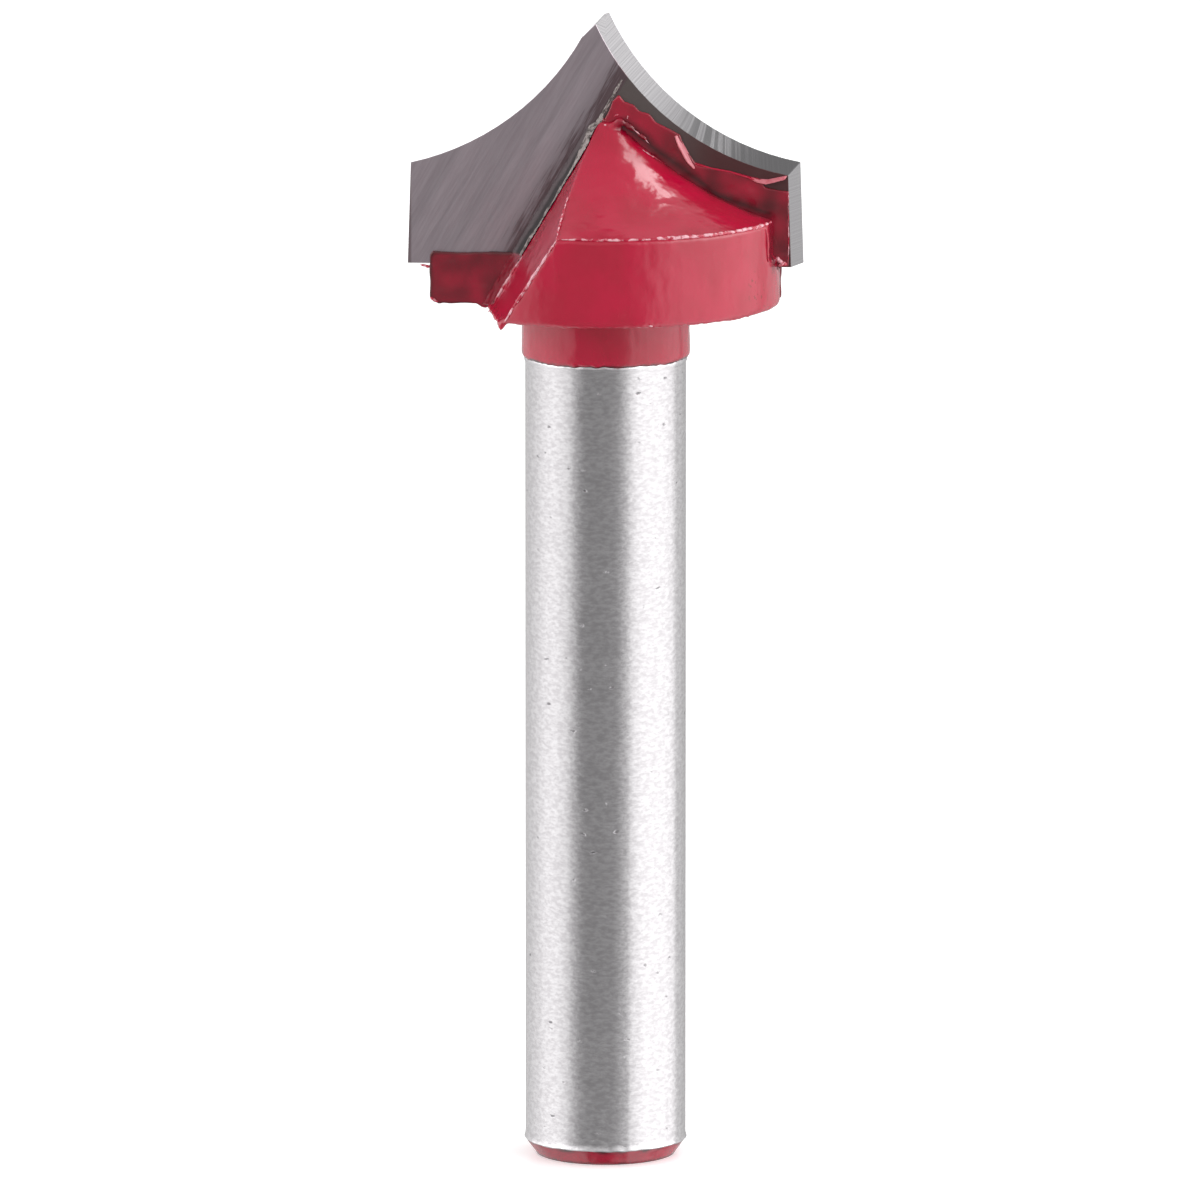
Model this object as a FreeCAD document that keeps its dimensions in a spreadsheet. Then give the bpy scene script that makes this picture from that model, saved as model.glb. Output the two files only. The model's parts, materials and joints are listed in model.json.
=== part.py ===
import FreeCAD, Part
import os
import Sketcher

# A router bit that cuts a V groove with two hollow flanks.
# A turned steel body carries one flat carbide blade, brazed upright into a slot across its head.
# The axis is Z, the shank stands on the XY plane and the point is at the top.
# The blade lies in the XZ plane. Its left half cuts on the front face, its right half on the back.

doc = FreeCAD.newDocument("v_groove_router_bit")
sheet = doc.addObject("Spreadsheet::Sheet", "Sizes")

drivingSizes = [
    ("shank_radius", 3.175, "quarter inch shank"),
    ("shank_length", 32.0, "from the end face to the collar"),
    ("end_chamfer_width", 0.45, "radial size of the chamfer at the shank's end"),
    ("end_chamfer_height", 0.63, "axial size of the same chamfer"),
    ("collar_radius", 3.33, "neck between the shank and the head"),
    ("collar_height", 2.1, "from the shank to the underside of the head"),
    ("collar_chamfer", 0.1, "bevel at the collar's lower edge"),
    ("neck_fillet", 0.35, "round between the collar and the head"),
    ("head_radius", 6.88, "turned drum that carries the blade"),
    ("head_height", 3.45, "straight side of the drum"),
    ("rim_fillet", 0.2, "round on the drum's lower edge"),
    ("crown_rise", 4.05, "from the drum's top edge to the crown"),
    ("crown_radius", 0.6, "small flat at the top of the crown"),
    ("crown_hollow", 14.0, "radius of the hollow slope from drum to crown"),
    ("blade_thickness", 1.3, "carbide plate"),
    ("braze_gap", 0.08, "layer of braze on each side of the plate"),
    ("blade_seat", 1.6, "bottom of the plate above the drum's underside"),
    ("blade_side", 4.0, "height of the straight cutting side"),
    ("corner_radius", 7.64, "cutting radius at the top of the side"),
    ("heel_flare", 0.13, "extra cutting radius at the bottom of the side"),
    ("edge_hollow", 10.43, "radius of the hollow cutting edge"),
    ("front_edge_reach", 9.97, "axis to the centre of the left, front edge"),
    ("back_edge_reach", 9.54, "axis to the centre of the right, back edge"),
    ("relief_side", 0.4, "flank set in behind the edge, sideways"),
    ("relief_top", 0.36, "flank set in behind the edge, downwards"),
    ("point_height", 45.6, "top of the point above the shank's end"),
    ("point_flat", 0.85, "width of the sloping flat that trims the point"),
    ("point_slope", 45.0, "slope of that flat, degrees from horizontal"),
    ("flute_angle", 59.4, "slope of the flute's wall, degrees from horizontal"),
    ("flute_opening", 10.4, "the wall leans open by these degrees"),
    ("flute_offset", 2.5, "axis to the wall's foot, at the drum's top edge"),
    ("bead_width", 0.34, "braze bead along the wall's foot"),
    ("bead_depth", 0.87, "the same bead, up the wall"),
    ("ground_start", 0.43, "grinding stops this far above the plate's bottom"),
    ("flank_flat", 0.135, "depth of the flat beside the carbide's flank"),
    ("flank_angle", 5.7, "that flat leans in by these degrees"),
    ("overrun", 6.0, "cutters run this far past the steel"),
]

for row, (alias, size, note) in enumerate(drivingSizes, start=1):
    sheet.set("A%d" % row, alias)
    sheet.set("B%d" % row, str(size))
    sheet.setAlias("B%d" % row, alias)
    sheet.set("C%d" % row, note)
doc.recompute()

# Heights and reaches that more than one piece uses
headBottom = "(Sizes.shank_length + Sizes.collar_height)"
shoulder = "(%s + Sizes.head_height)" % headBottom
crownTop = "(%s + Sizes.crown_rise)" % shoulder
bladeBottom = "(%s + Sizes.blade_seat)" % headBottom
bladeCorner = "(%s + Sizes.blade_side)" % bladeBottom
groundLevel = "(%s + Sizes.ground_start)" % bladeBottom
slotFloor = "(%s - Sizes.braze_gap)" % bladeBottom
halfBlade = "(Sizes.blade_thickness / 2)"
halfSlot = "(Sizes.blade_thickness / 2 + Sizes.braze_gap)"
pastHead = "(Sizes.head_radius + Sizes.overrun)"
pastPoint = "(Sizes.point_height + Sizes.overrun)"
openingSlope = "tan(Sizes.flute_opening * 1 deg)"


def bind(item, **links):
    """Ties properties of an object to expressions; a double underscore stands for a dot."""
    for name, expression in links.items():
        item.setExpression(name.replace("__", "."), expression)


def pin(sketch, curve, end, across, up):
    """Holds one end of a sketch curve at two expressions, measured from the origin."""
    for kind, expression in (("DistanceX", across), ("DistanceY", up)):
        here = sketch.evalExpression(expression)
        index = sketch.addConstraint(Sketcher.Constraint(kind, -1, 1, curve, end, float(here)))
        sketch.setExpression("Constraints[%d]" % index, expression)


def closedOutline(sketch, corners, arcs=()):
    """Draws a closed outline through corners; arcs gives (side, centre, turns left) for curved sides."""
    points = [FreeCAD.Vector(sketch.evalExpression(x), sketch.evalExpression(y), 0) for x, y in corners]
    curved = {side: (centre, left) for side, centre, left in arcs}
    ends = []
    for side, start in enumerate(points):
        finish = points[(side + 1) % len(points)]
        if side in curved:
            centre, left = curved[side]
            middle = FreeCAD.Vector(sketch.evalExpression(centre[0]), sketch.evalExpression(centre[1]), 0)
            circle = Part.Circle(middle, FreeCAD.Vector(0, 0, 1), start.distanceToPoint(middle))
            first, last = (start, finish) if left else (finish, start)
            arc = Part.ArcOfCircle(circle, circle.parameter(first), circle.parameter(last))
            sketch.addGeometry(arc, False)
            ends.append((1, 2) if left else (2, 1))
        else:
            sketch.addGeometry(Part.LineSegment(start, finish), False)
            ends.append((1, 2))
    for side in range(len(points)):
        after = (side + 1) % len(points)
        sketch.addConstraint(Sketcher.Constraint("Coincident", side, ends[side][1], after, ends[after][0]))
    for side, (x, y) in enumerate(corners):
        pin(sketch, side, ends[side][0], x, y)
    for side, (centre, left) in curved.items():
        index = sketch.addConstraint(Sketcher.Constraint("DistanceX", -1, 1, side, 3,
                                                         float(sketch.evalExpression(centre[0]))))
        sketch.setExpression("Constraints[%d]" % index, centre[0])


def loneSketch(name, turn, height=None, depth=None):
    """A sketch outside any body: upright in XZ or level in XY, moved to a height or depth."""
    sketch = doc.addObject("Sketcher::SketchObject", name)
    sketch.Placement = FreeCAD.Placement(FreeCAD.Vector(), turn)
    if height:
        bind(sketch, Placement__Base__z=height)
    if depth:
        bind(sketch, Placement__Base__y=depth)
    return sketch


upright = FreeCAD.Rotation(FreeCAD.Vector(1, 0, 0), 90)
level = FreeCAD.Rotation()


# The turned outline: half a section, from the shank's end to the crown

def turnedOutline(sketch):
    endFlat = "(Sizes.shank_radius - Sizes.end_chamfer_width)"
    rimTop = "(%s + Sizes.rim_fillet)" % headBottom
    rimIn = "(Sizes.head_radius - Sizes.rim_fillet)"
    neckTop = "(%s - Sizes.neck_fillet)" % headBottom
    neckOut = "(Sizes.collar_radius + Sizes.neck_fillet)"
    slopeWide = "(Sizes.head_radius - Sizes.crown_radius)"
    chord = "sqrt(pow(%s; 2) + pow(Sizes.crown_rise; 2))" % slopeWide
    sag = "sqrt(pow(Sizes.crown_hollow; 2) - pow(%s / 2; 2))" % chord
    middleX = "((Sizes.head_radius + Sizes.crown_radius) / 2)"
    middleZ = "(%s + Sizes.crown_rise / 2)" % shoulder
    hollowX = "(%s + %s * Sizes.crown_rise / %s)" % (middleX, sag, chord)
    hollowZ = "(%s + %s * %s / %s)" % (middleZ, sag, slopeWide, chord)
    corners = [
        ("0", "0"),
        (endFlat, "0"),
        ("Sizes.shank_radius", "Sizes.end_chamfer_height"),
        ("Sizes.shank_radius", "Sizes.shank_length"),
        ("(Sizes.collar_radius - Sizes.collar_chamfer)", "Sizes.shank_length"),
        ("Sizes.collar_radius", "(Sizes.shank_length + Sizes.collar_chamfer)"),
        ("Sizes.collar_radius", neckTop),
        (neckOut, headBottom),
        (rimIn, headBottom),
        ("Sizes.head_radius", rimTop),
        ("Sizes.head_radius", shoulder),
        ("Sizes.crown_radius", crownTop),
        ("0", crownTop),
    ]
    neckRound = (6, (neckOut, neckTop), False)
    rimRound = (8, (rimIn, rimTop), True)
    hollowSlope = (10, (hollowX, hollowZ), False)
    closedOutline(sketch, corners, [neckRound, rimRound, hollowSlope])


# Body: turned blank, blade slot, two flutes and the flats beside the carbide's flanks

def plane(body, role):
    return next(item for item in body.Origin.OriginFeatures if item.Role == role)


def bodySketch(body, name, role):
    sketch = body.newObject("Sketcher::SketchObject", name)
    sketch.AttachmentSupport = (plane(body, role), [""])
    sketch.MapMode = "FlatFace"
    return sketch


def fluteCorners(sketch, floor, offset, slope):
    """A level section of the flute at the drum's top edge: floor, leaning wall and open side."""
    wallFar = "(%s * (%s - %s) - %s)" % (slope, pastHead, floor, offset)
    farLeft = "(-2 * %s)" % pastHead
    closedOutline(sketch, [(farLeft, "-%s" % floor), ("-%s" % offset, "-%s" % floor),
                           (wallFar, "-%s" % pastHead), (farLeft, "-%s" % pastHead)])


def bitBody():
    body = doc.addObject("PartDesign::Body", "BitBody")
    body.Label = "bit_body"

    outline = bodySketch(body, "TurnedOutline", "XZ_Plane")
    turnedOutline(outline)
    doc.recompute()
    turned = body.newObject("PartDesign::Revolution", "Turned")
    turned.Profile = outline
    turned.ReferenceAxis = (plane(body, "Z_Axis"), [""])
    turned.Angle = 360
    doc.recompute()

    slotOutline = bodySketch(body, "SlotOutline", "YZ_Plane")
    slotLeft = "-%s" % halfSlot
    closedOutline(slotOutline, [(slotLeft, slotFloor), (halfSlot, slotFloor),
                                (halfSlot, pastPoint), (slotLeft, pastPoint)])
    doc.recompute()
    slot = body.newObject("PartDesign::Pocket", "Slot")
    slot.Profile = slotOutline
    slot.Type = "ThroughAll"
    slot.Midplane = True
    doc.recompute()

    fluteOutline = bodySketch(body, "FluteOutline", "XY_Plane")
    bind(fluteOutline, AttachmentOffset__Base__z=shoulder)
    fluteCorners(fluteOutline, halfSlot, "Sizes.flute_offset", openingSlope)
    doc.recompute()
    flute = body.newObject("PartDesign::Pocket", "Flute")
    flute.Profile = fluteOutline
    flute.Type = "Length"
    flute.UseCustomVector = True
    flute.Direction = FreeCAD.Vector(0, 0, 1)
    bind(flute, Direction__x="cos(Sizes.flute_angle * 1 deg)", Direction__z="sin(Sizes.flute_angle * 1 deg)")
    flute.AlongSketchNormal = False
    flute.Midplane = True
    bind(flute, Length="4 * %s" % pastHead)
    doc.recompute()

    flatOutline = bodySketch(body, "FlankFlatOutline", "XY_Plane")
    bind(flatOutline, AttachmentOffset__Base__z=groundLevel)
    flatStart = "(Sizes.head_radius - Sizes.flank_flat)"
    flatEnd = "(%s - %s * tan(Sizes.flank_angle * 1 deg))" % (flatStart, pastHead)
    closedOutline(flatOutline, [(flatStart, "0"), (pastHead, "0"),
                                (pastHead, "-%s" % pastHead), (flatEnd, "-%s" % pastHead)])
    doc.recompute()
    flat = body.newObject("PartDesign::Pocket", "FlankFlat")
    flat.Profile = flatOutline
    flat.Type = "Length"
    flat.Reversed = True
    bind(flat, Length=pastPoint)
    doc.recompute()

    pair = body.newObject("PartDesign::PolarPattern", "BothSides")
    pair.Originals = [flute, flat]
    pair.Axis = (plane(body, "Z_Axis"), [""])
    pair.Angle = 360
    pair.Occurrences = 2
    body.Tip = pair
    doc.recompute()
    return body


# Blade: a flat blank ground by two slanting sweeps, one for each cutting edge, and a flat at the point

def edgeSweep(name, side, reach):
    """The blank that lies under one cutting edge, swept from its cutting face through the plate."""
    sketch = loneSketch(name + "Outline", upright, depth="%d * %s" % (side, halfBlade))
    below = "(%s - Sizes.overrun)" % bladeBottom
    flare = "(Sizes.heel_flare / Sizes.blade_side)"
    heel = "(Sizes.corner_radius + %s * (Sizes.blade_side + Sizes.overrun))" % flare
    centreDrop = "pow(%s - Sizes.corner_radius; 2)" % reach
    centreZ = "(%s + sqrt(pow(Sizes.edge_hollow; 2) - %s))" % (bladeCorner, centreDrop)
    edgeTop = "(%s - Sizes.edge_hollow)" % reach

    def placed(x):
        return "%d * %s" % (side, x)

    corners = [
        (placed("(-1 * %s)" % pastHead), below),
        (placed(heel), below),
        (placed("Sizes.corner_radius"), bladeCorner),
        (placed(edgeTop), centreZ),
        (placed("(-1 * %s)" % pastHead), centreZ),
    ]
    closedOutline(sketch, corners, [(2, (placed(reach), centreZ), side < 0)])
    doc.recompute()
    sweep = doc.addObject("Part::Extrusion", name)
    sweep.Base = sketch
    sweep.DirMode = "Custom"
    sweep.Solid = True
    bind(sweep, Dir__x="%d * Sizes.relief_side" % -side, Dir__y="%d * Sizes.blade_thickness" % -side,
         Dir__z="-1 * Sizes.relief_top",
         LengthFwd="sqrt(pow(Sizes.relief_side; 2) + pow(Sizes.blade_thickness; 2) + pow(Sizes.relief_top; 2))")
    return sweep


def carbideBlade():
    blank = doc.addObject("Part::Box", "BladeBlank")
    bind(blank, Length="2 * %s" % pastHead, Width="Sizes.blade_thickness",
         Height="%s - %s" % (pastPoint, bladeBottom), Placement__Base__x="-%s" % pastHead,
         Placement__Base__y="-%s" % halfBlade, Placement__Base__z=bladeBottom)
    frontEdge = edgeSweep("FrontEdge", -1, "Sizes.front_edge_reach")
    backEdge = edgeSweep("BackEdge", 1, "Sizes.back_edge_reach")
    doc.recompute()
    ground = doc.addObject("Part::MultiCommon", "GroundBlade")
    ground.Shapes = [blank, frontEdge, backEdge]
    trim = doc.addObject("Part::Box", "PointTrim")
    trim.Placement = FreeCAD.Placement(FreeCAD.Vector(), FreeCAD.Rotation(FreeCAD.Vector(0, -1, 0), 1))
    bind(trim, Length="2 * Sizes.point_flat / cos(Sizes.point_slope * 1 deg)",
         Width="2 * Sizes.blade_thickness", Height="Sizes.overrun",
         Placement__Rotation__Angle="Sizes.point_slope * 1 deg",
         Placement__Base__x="-1 * Sizes.point_flat",
         Placement__Base__y="-1 * Sizes.blade_thickness",
         Placement__Base__z="Sizes.point_height - Sizes.point_flat * tan(Sizes.point_slope * 1 deg)")
    blade = doc.addObject("Part::Cut", "CarbideBlade")
    blade.Base = ground
    blade.Tool = trim
    blade.Label = "carbide_blade"
    doc.recompute()
    return blade


# Braze: the layer round the plate in its slot and a bead along the foot of each flute's wall

def slantedPrism(name, corners):
    """A level outline at the drum's top edge, swept both ways along the flute."""
    sketch = loneSketch(name + "Outline", level, height=shoulder)
    closedOutline(sketch, corners)
    doc.recompute()
    prism = doc.addObject("Part::Extrusion", name)
    prism.Base = sketch
    prism.DirMode = "Custom"
    prism.Solid = True
    prism.Symmetric = True
    bind(prism, Dir__x="cos(Sizes.flute_angle * 1 deg)", Dir__y="0",
         Dir__z="sin(Sizes.flute_angle * 1 deg)", LengthFwd="4 * %s" % pastHead)
    return prism


def turnedAbout(item, name):
    """The same shape turned half round the axis."""
    other = doc.addObject("Part::Compound", name)
    other.Links = [item]
    other.Placement = FreeCAD.Placement(FreeCAD.Vector(), FreeCAD.Rotation(FreeCAD.Vector(0, 0, 1), 180))
    return other


def brazeJoint(body, blade):
    envelopeOutline = loneSketch("EnvelopeOutline", upright)
    turnedOutline(envelopeOutline)
    doc.recompute()
    envelope = doc.addObject("Part::Revolution", "Envelope")
    envelope.Source = envelopeOutline
    envelope.Axis = (0, 0, 1)
    envelope.Angle = 360
    envelope.Solid = True

    filling = doc.addObject("Part::Box", "SlotFilling")
    bind(filling, Length="2 * %s" % pastHead, Width="2 * %s" % halfSlot,
         Height="%s - %s" % (pastPoint, slotFloor), Placement__Base__x="-%s" % pastHead,
         Placement__Base__y="-%s" % halfSlot, Placement__Base__z=slotFloor)

    beadEdge = "(-1 * (Sizes.flute_offset + Sizes.bead_width))"
    wallFoot = "(-1 * Sizes.flute_offset)"
    beadTopX = "(%s * Sizes.bead_depth - Sizes.flute_offset)" % openingSlope
    beadTopY = "(-1 * (%s + Sizes.bead_depth))" % halfSlot
    bead = slantedPrism("Bead", [(beadEdge, "-%s" % halfBlade), (beadEdge, "-%s" % halfSlot),
                                 (beadTopX, beadTopY), (wallFoot, "-%s" % halfSlot),
                                 (wallFoot, "-%s" % halfBlade)])
    farLeft = "(-2 * %s)" % pastHead
    wheel = slantedPrism("WheelPath", [(farLeft, "-%s" % halfBlade), (farLeft, "-%s" % pastHead),
                                       (beadEdge, "-%s" % pastHead), (beadEdge, "-%s" % halfBlade)])
    aboveGround = doc.addObject("Part::Box", "AboveGround")
    bind(aboveGround, Length="4 * %s" % pastHead, Width="4 * %s" % pastHead, Height=pastPoint,
         Placement__Base__x="-2 * %s" % pastHead, Placement__Base__y="-2 * %s" % pastHead,
         Placement__Base__z=groundLevel)
    doc.recompute()
    groundAway = doc.addObject("Part::MultiCommon", "GroundAway")
    groundAway.Shapes = [wheel, aboveGround]
    doc.recompute()
    filled = doc.addObject("Part::MultiFuse", "Filled")
    filled.Shapes = [filling, bead, turnedAbout(bead, "BeadBack")]
    withinHead = doc.addObject("Part::MultiCommon", "WithinHead")
    withinHead.Shapes = [envelope, filled]
    taken = doc.addObject("Part::Compound", "TakenAway")
    taken.Links = [groundAway, turnedAbout(groundAway, "GroundAwayBack")]
    doc.recompute()
    openBraze = doc.addObject("Part::Cut", "OpenBraze")
    openBraze.Base = withinHead
    openBraze.Tool = taken
    roundBlade = doc.addObject("Part::Cut", "RoundBlade")
    roundBlade.Base = openBraze
    roundBlade.Tool = blade
    braze = doc.addObject("Part::Cut", "BrazeJoint")
    braze.Base = roundBlade
    braze.Tool = body
    braze.Label = "braze_joint"
    doc.recompute()
    return braze


body = bitBody()
blade = carbideBlade()
braze = brazeJoint(body, blade)
doc.recompute()

failed = [item.Name for item in doc.Objects if {"Invalid", "Error"} & set(item.State)]
if failed:
    raise RuntimeError("these objects failed: " + ", ".join(failed))
os.makedirs("parts", exist_ok=True)
for piece in (body, blade, braze):
    shape = piece.Shape
    if shape.isNull() or not shape.isValid() or shape.Volume <= 0:
        raise RuntimeError(piece.Label + " has no sound solid")
    print(piece.Label, "solids", len(shape.Solids), "volume", round(shape.Volume, 4),
          "box", shape.BoundBox)
for piece in (body, blade, braze):
    piece.Shape.exportStep("parts/" + piece.Label + ".step")
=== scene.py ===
import bpy
import bmesh
import json
import math
from mathutils import Matrix, Vector, noise
from mathutils.geometry import intersect_point_line


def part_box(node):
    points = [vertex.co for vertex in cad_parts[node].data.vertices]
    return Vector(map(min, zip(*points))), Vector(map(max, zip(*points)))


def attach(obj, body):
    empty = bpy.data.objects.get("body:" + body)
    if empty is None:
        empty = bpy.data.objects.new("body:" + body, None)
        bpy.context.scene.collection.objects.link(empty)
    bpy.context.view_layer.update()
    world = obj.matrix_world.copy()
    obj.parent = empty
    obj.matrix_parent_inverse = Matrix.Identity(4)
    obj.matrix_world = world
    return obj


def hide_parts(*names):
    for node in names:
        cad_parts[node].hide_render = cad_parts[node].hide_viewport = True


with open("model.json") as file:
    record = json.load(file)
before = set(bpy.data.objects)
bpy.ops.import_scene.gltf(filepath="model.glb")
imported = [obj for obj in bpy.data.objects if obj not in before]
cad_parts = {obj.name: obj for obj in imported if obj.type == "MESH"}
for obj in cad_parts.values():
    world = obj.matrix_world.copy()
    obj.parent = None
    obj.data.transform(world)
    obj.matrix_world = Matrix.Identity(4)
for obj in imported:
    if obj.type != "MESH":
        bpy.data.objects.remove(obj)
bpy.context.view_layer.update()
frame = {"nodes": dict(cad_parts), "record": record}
mm = 0.001

# Sizes read from the frame, in millimetres
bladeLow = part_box("carbide_blade")[0] / mm
bladeFront = bladeLow.y
shankMount = next(mount for mount in frame["record"]["mounts"] if mount["name"] == "shank")
shankRadius = shankMount["dims"]["r_mm"]
shankMiddle = shankMount["pos_m"][2] / mm
shankLow = shankMiddle - shankMount["dims"]["length_mm"] / 2
shankTop = shankMiddle + shankMount["dims"]["length_mm"] / 2


# Helpers for nodes

def put(tree, kind, feeds=None, **settings):
    made = tree.nodes.new(kind)
    for key, value in settings.items():
        setattr(made, key, value)
    for socket, value in (feeds or {}).items():
        if isinstance(value, bpy.types.NodeSocket):
            tree.links.new(value, made.inputs[socket])
        else:
            made.inputs[socket].default_value = value
    return made


def link(tree, sockets, values):
    for label, value in values.items():
        tree.links.new(value, sockets[label])


def maths(tree, operation, first, second=0.0):
    return put(tree, "ShaderNodeMath", {0: first, 1: second}, operation=operation).outputs[0]


def times(tree, first, second):
    return maths(tree, "MULTIPLY", first, second)


def minus(tree, first, second):
    return maths(tree, "SUBTRACT", first, second)


def fade(tree, value, low, high, start=0.0, end=1.0):
    feeds = {"Value": value, "From Min": low, "From Max": high, "To Min": start, "To Max": end}
    return put(tree, "ShaderNodeMapRange", feeds, interpolation_type="SMOOTHSTEP").outputs["Result"]


def blend(tree, share, first, second):
    return put(tree, "ShaderNodeMix", {0: share, 6: first, 7: second}, data_type="RGBA").outputs[2]


def mixValues(tree, share, first, second):
    return put(tree, "ShaderNodeMix", {0: share, 2: first, 3: second}).outputs[0]


def noiseField(tree, where, scale, detail=2.0, roughness=0.5):
    feeds = {"Vector": where, "Scale": scale, "Detail": detail, "Roughness": roughness}
    return put(tree, "ShaderNodeTexNoise", feeds).outputs[0]


def lineNoise(tree, along, scale, detail):
    feeds = {"W": along, "Scale": scale, "Detail": detail, "Roughness": 0.7}
    return put(tree, "ShaderNodeTexNoise", feeds, noise_dimensions="1D").outputs[0]


def axes(tree, where):
    return put(tree, "ShaderNodeSeparateXYZ", {0: where}).outputs


def attribute(tree, name):
    return put(tree, "ShaderNodeAttribute", attribute_name=name).outputs["Fac"]


def moved(tree, where, turn=(0, 0, 0), stretch=(1, 1, 1)):
    return put(tree, "ShaderNodeMapping", {"Vector": where, "Rotation": turn, "Scale": stretch}).outputs[0]


def millimetres(tree):
    where = put(tree, "ShaderNodeTexCoord").outputs["Object"]
    return moved(tree, where, stretch=(1 / mm, 1 / mm, 1 / mm))


def bump(tree, height, distance):
    return put(tree, "ShaderNodeBump", {"Height": height, "Distance": distance}).outputs[0]


def newMaterial(name, constants):
    material = bpy.data.materials.new(name)
    material.use_nodes = True
    shader = material.node_tree.nodes["Principled BSDF"]
    for socket, value in constants.items():
        shader.inputs[socket].default_value = value
    return material, material.node_tree, shader


def newGroup(name, inputs, outputs):
    # an input without a starting value is a vector
    tree = bpy.data.node_groups.new(name, "ShaderNodeTree")
    for label, value in inputs.items():
        kind = "NodeSocketVector" if value is None else "NodeSocketFloat"
        socket = tree.interface.new_socket(label, in_out="INPUT", socket_type=kind)
        if value is not None:
            socket.default_value = value
    for label in outputs:
        tree.interface.new_socket(label, in_out="OUTPUT", socket_type="NodeSocketFloat")
    given = put(tree, "NodeGroupInput").outputs
    results = put(tree, "NodeGroupOutput").inputs
    return tree, given, results


def useGroup(tree, group, feeds):
    return put(tree, "ShaderNodeGroup", feeds, node_tree=group).outputs


# Effects that several finishes share

middling = (0.3, 0.7)  # the range that most of a noise field lies in


def makeGrain():
    # fine mottling of bare metal, slow clouds and a scatter of small, ragged dents
    inputs = {"Vector": None, "Grain Scale": 8.0, "Pit Scale": 1.6, "Pit Size": 0.1}
    tree, given, results = newGroup("metalGrain", inputs, ("Grain", "Cloud", "Pits"))
    where = given["Vector"]
    grain = noiseField(tree, where, given["Grain Scale"], detail=4.0, roughness=0.6)
    cells = put(tree, "ShaderNodeTexVoronoi", {"Vector": where, "Scale": given["Pit Scale"]})
    ragged = maths(tree, "ADD", cells.outputs["Distance"], fade(tree, grain, *middling, -0.07, 0.07))
    link(tree, results, {
        "Grain": grain,
        "Cloud": noiseField(tree, where, 0.7, detail=3.0),
        "Pits": fade(tree, ragged, 0.0, given["Pit Size"], 1.0, 0.0),
    })
    return tree


def makeStreaks():
    # scratches of a grinding wheel, along X of the given vector
    inputs = {"Vector": None, "Fineness": 14.0}
    tree, given, results = newGroup("wheelStreaks", inputs, ("Streaks", "Bands"))
    drawnOut = moved(tree, given["Vector"], stretch=(0.06, 1, 1))
    link(tree, results, {
        "Streaks": noiseField(tree, drawnOut, given["Fineness"], detail=5.0, roughness=0.65),
        "Bands": noiseField(tree, drawnOut, 1.6),
    })
    return tree


def makeSkin():
    # ripples, uneven depth of colour, and specks with the few patches of thin enamel where they show
    inputs = {"Vector": None, "Ripple Scale": 1.1}
    tree, given, results = newGroup("enamelSkin", inputs, ("Ripple", "Depth", "Specks", "Thin"))
    where = given["Vector"]
    hanging = moved(tree, where, stretch=(1, 1, 0.5))
    link(tree, results, {
        "Ripple": noiseField(tree, hanging, given["Ripple Scale"], detail=3.0),
        "Depth": noiseField(tree, where, 0.55),
        "Specks": fade(tree, noiseField(tree, where, 5.5, detail=3.0), 0.58, 0.68),
        "Thin": fade(tree, noiseField(tree, where, 0.36, detail=0.0), 0.7, 0.76),
    })
    return tree


groundLine = {  # where the flute's wall meets the front of the blade
    "slope": math.radians(59.3),
    "height": 37.55,
    "across": -2.41,  # out from the axis at that height
}


def makeDiagonal():
    # distance past the ground line, distance out from the axis on the side where carbide shows, height, and
    # distance from the middle of the plate; the back is the front turned half round
    outputs = ("Past", "Outward", "Height", "Depth")
    tree, given, results = newGroup("diagonalPlace", {"Vector": None}, outputs)
    place = axes(tree, given["Vector"])
    side = maths(tree, "SIGN", times(tree, place["Y"], -1.0))
    outward = times(tree, place["X"], side)
    rise = minus(tree, place["Z"], groundLine["height"])
    lean = times(tree, rise, 1 / math.tan(groundLine["slope"]))
    link(tree, results, {
        "Past": minus(tree, minus(tree, outward, lean), groundLine["across"]),
        "Outward": outward,
        "Height": place["Z"],
        "Depth": maths(tree, "ABSOLUTE", place["Y"]),
    })
    return tree


metalGrain = makeGrain()
wheelStreaks = makeStreaks()
enamelSkin = makeSkin()
diagonalPlace = makeDiagonal()
print("shared effects ready")


# Finishes: enamel

enamelLook = {
    "red": (0.43, 0.002, 0.032, 1),
    "softRed": (0.38, 0.0015, 0.025, 1),
    # the dark red that stands for painted shade in creases, recesses and along edges
    "paintedShadeRed": (0.05, 0.0008, 0.0035, 1),
    "speck": (0.24, 0.001, 0.01, 1),
    # pale pink painted highlight for the lifted flaps
    "flakeHighlight": (0.60, 0.17, 0.205, 1),
    # pale pink painted glint for the edge beads
    "paintedGlint": (0.73, 0.38, 0.43, 1),
    "ior": 1.6,
    "rippleScale": 1.2,
    "crustScale": 4.0,  # ripples of the flakes and the dried beads
    "rippleDepth": 0.022 * mm,
    "contrast": (0.35, 0.65),
    "flakeRipples": (0.3, 0.62),  # the painted highlight gives way to red in the hollows of the flakes' ripples
    "flakeRedness": 0.4,
    "glintScale": 3.4,
    "glintRange": (0.42, 0.59),
    "roughness": (0.23, 0.15),
    "flakeRoughness": (0.3, 0.4),
    "paintedGlintRoughness": (0.2, 0.35),
}


def enamelColour(tree, where):
    skin = useGroup(tree, enamelSkin, {"Vector": where, "Ripple Scale": enamelLook["rippleScale"]})
    brighter = fade(tree, skin["Depth"], *enamelLook["contrast"])
    tone = blend(tree, brighter, enamelLook["softRed"], enamelLook["red"])
    # painted shade: the vertex attribute darkens the colour in creases, recesses and along edges, with random
    # mottling
    shaded = blend(tree, attribute(tree, "shadeAndMottle"), tone, enamelLook["paintedShadeRed"])
    thin = maths(tree, "MAXIMUM", skin["Thin"], attribute(tree, "worn"))
    return blend(tree, times(tree, skin["Specks"], thin), shaded, enamelLook["speck"]), skin


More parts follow.
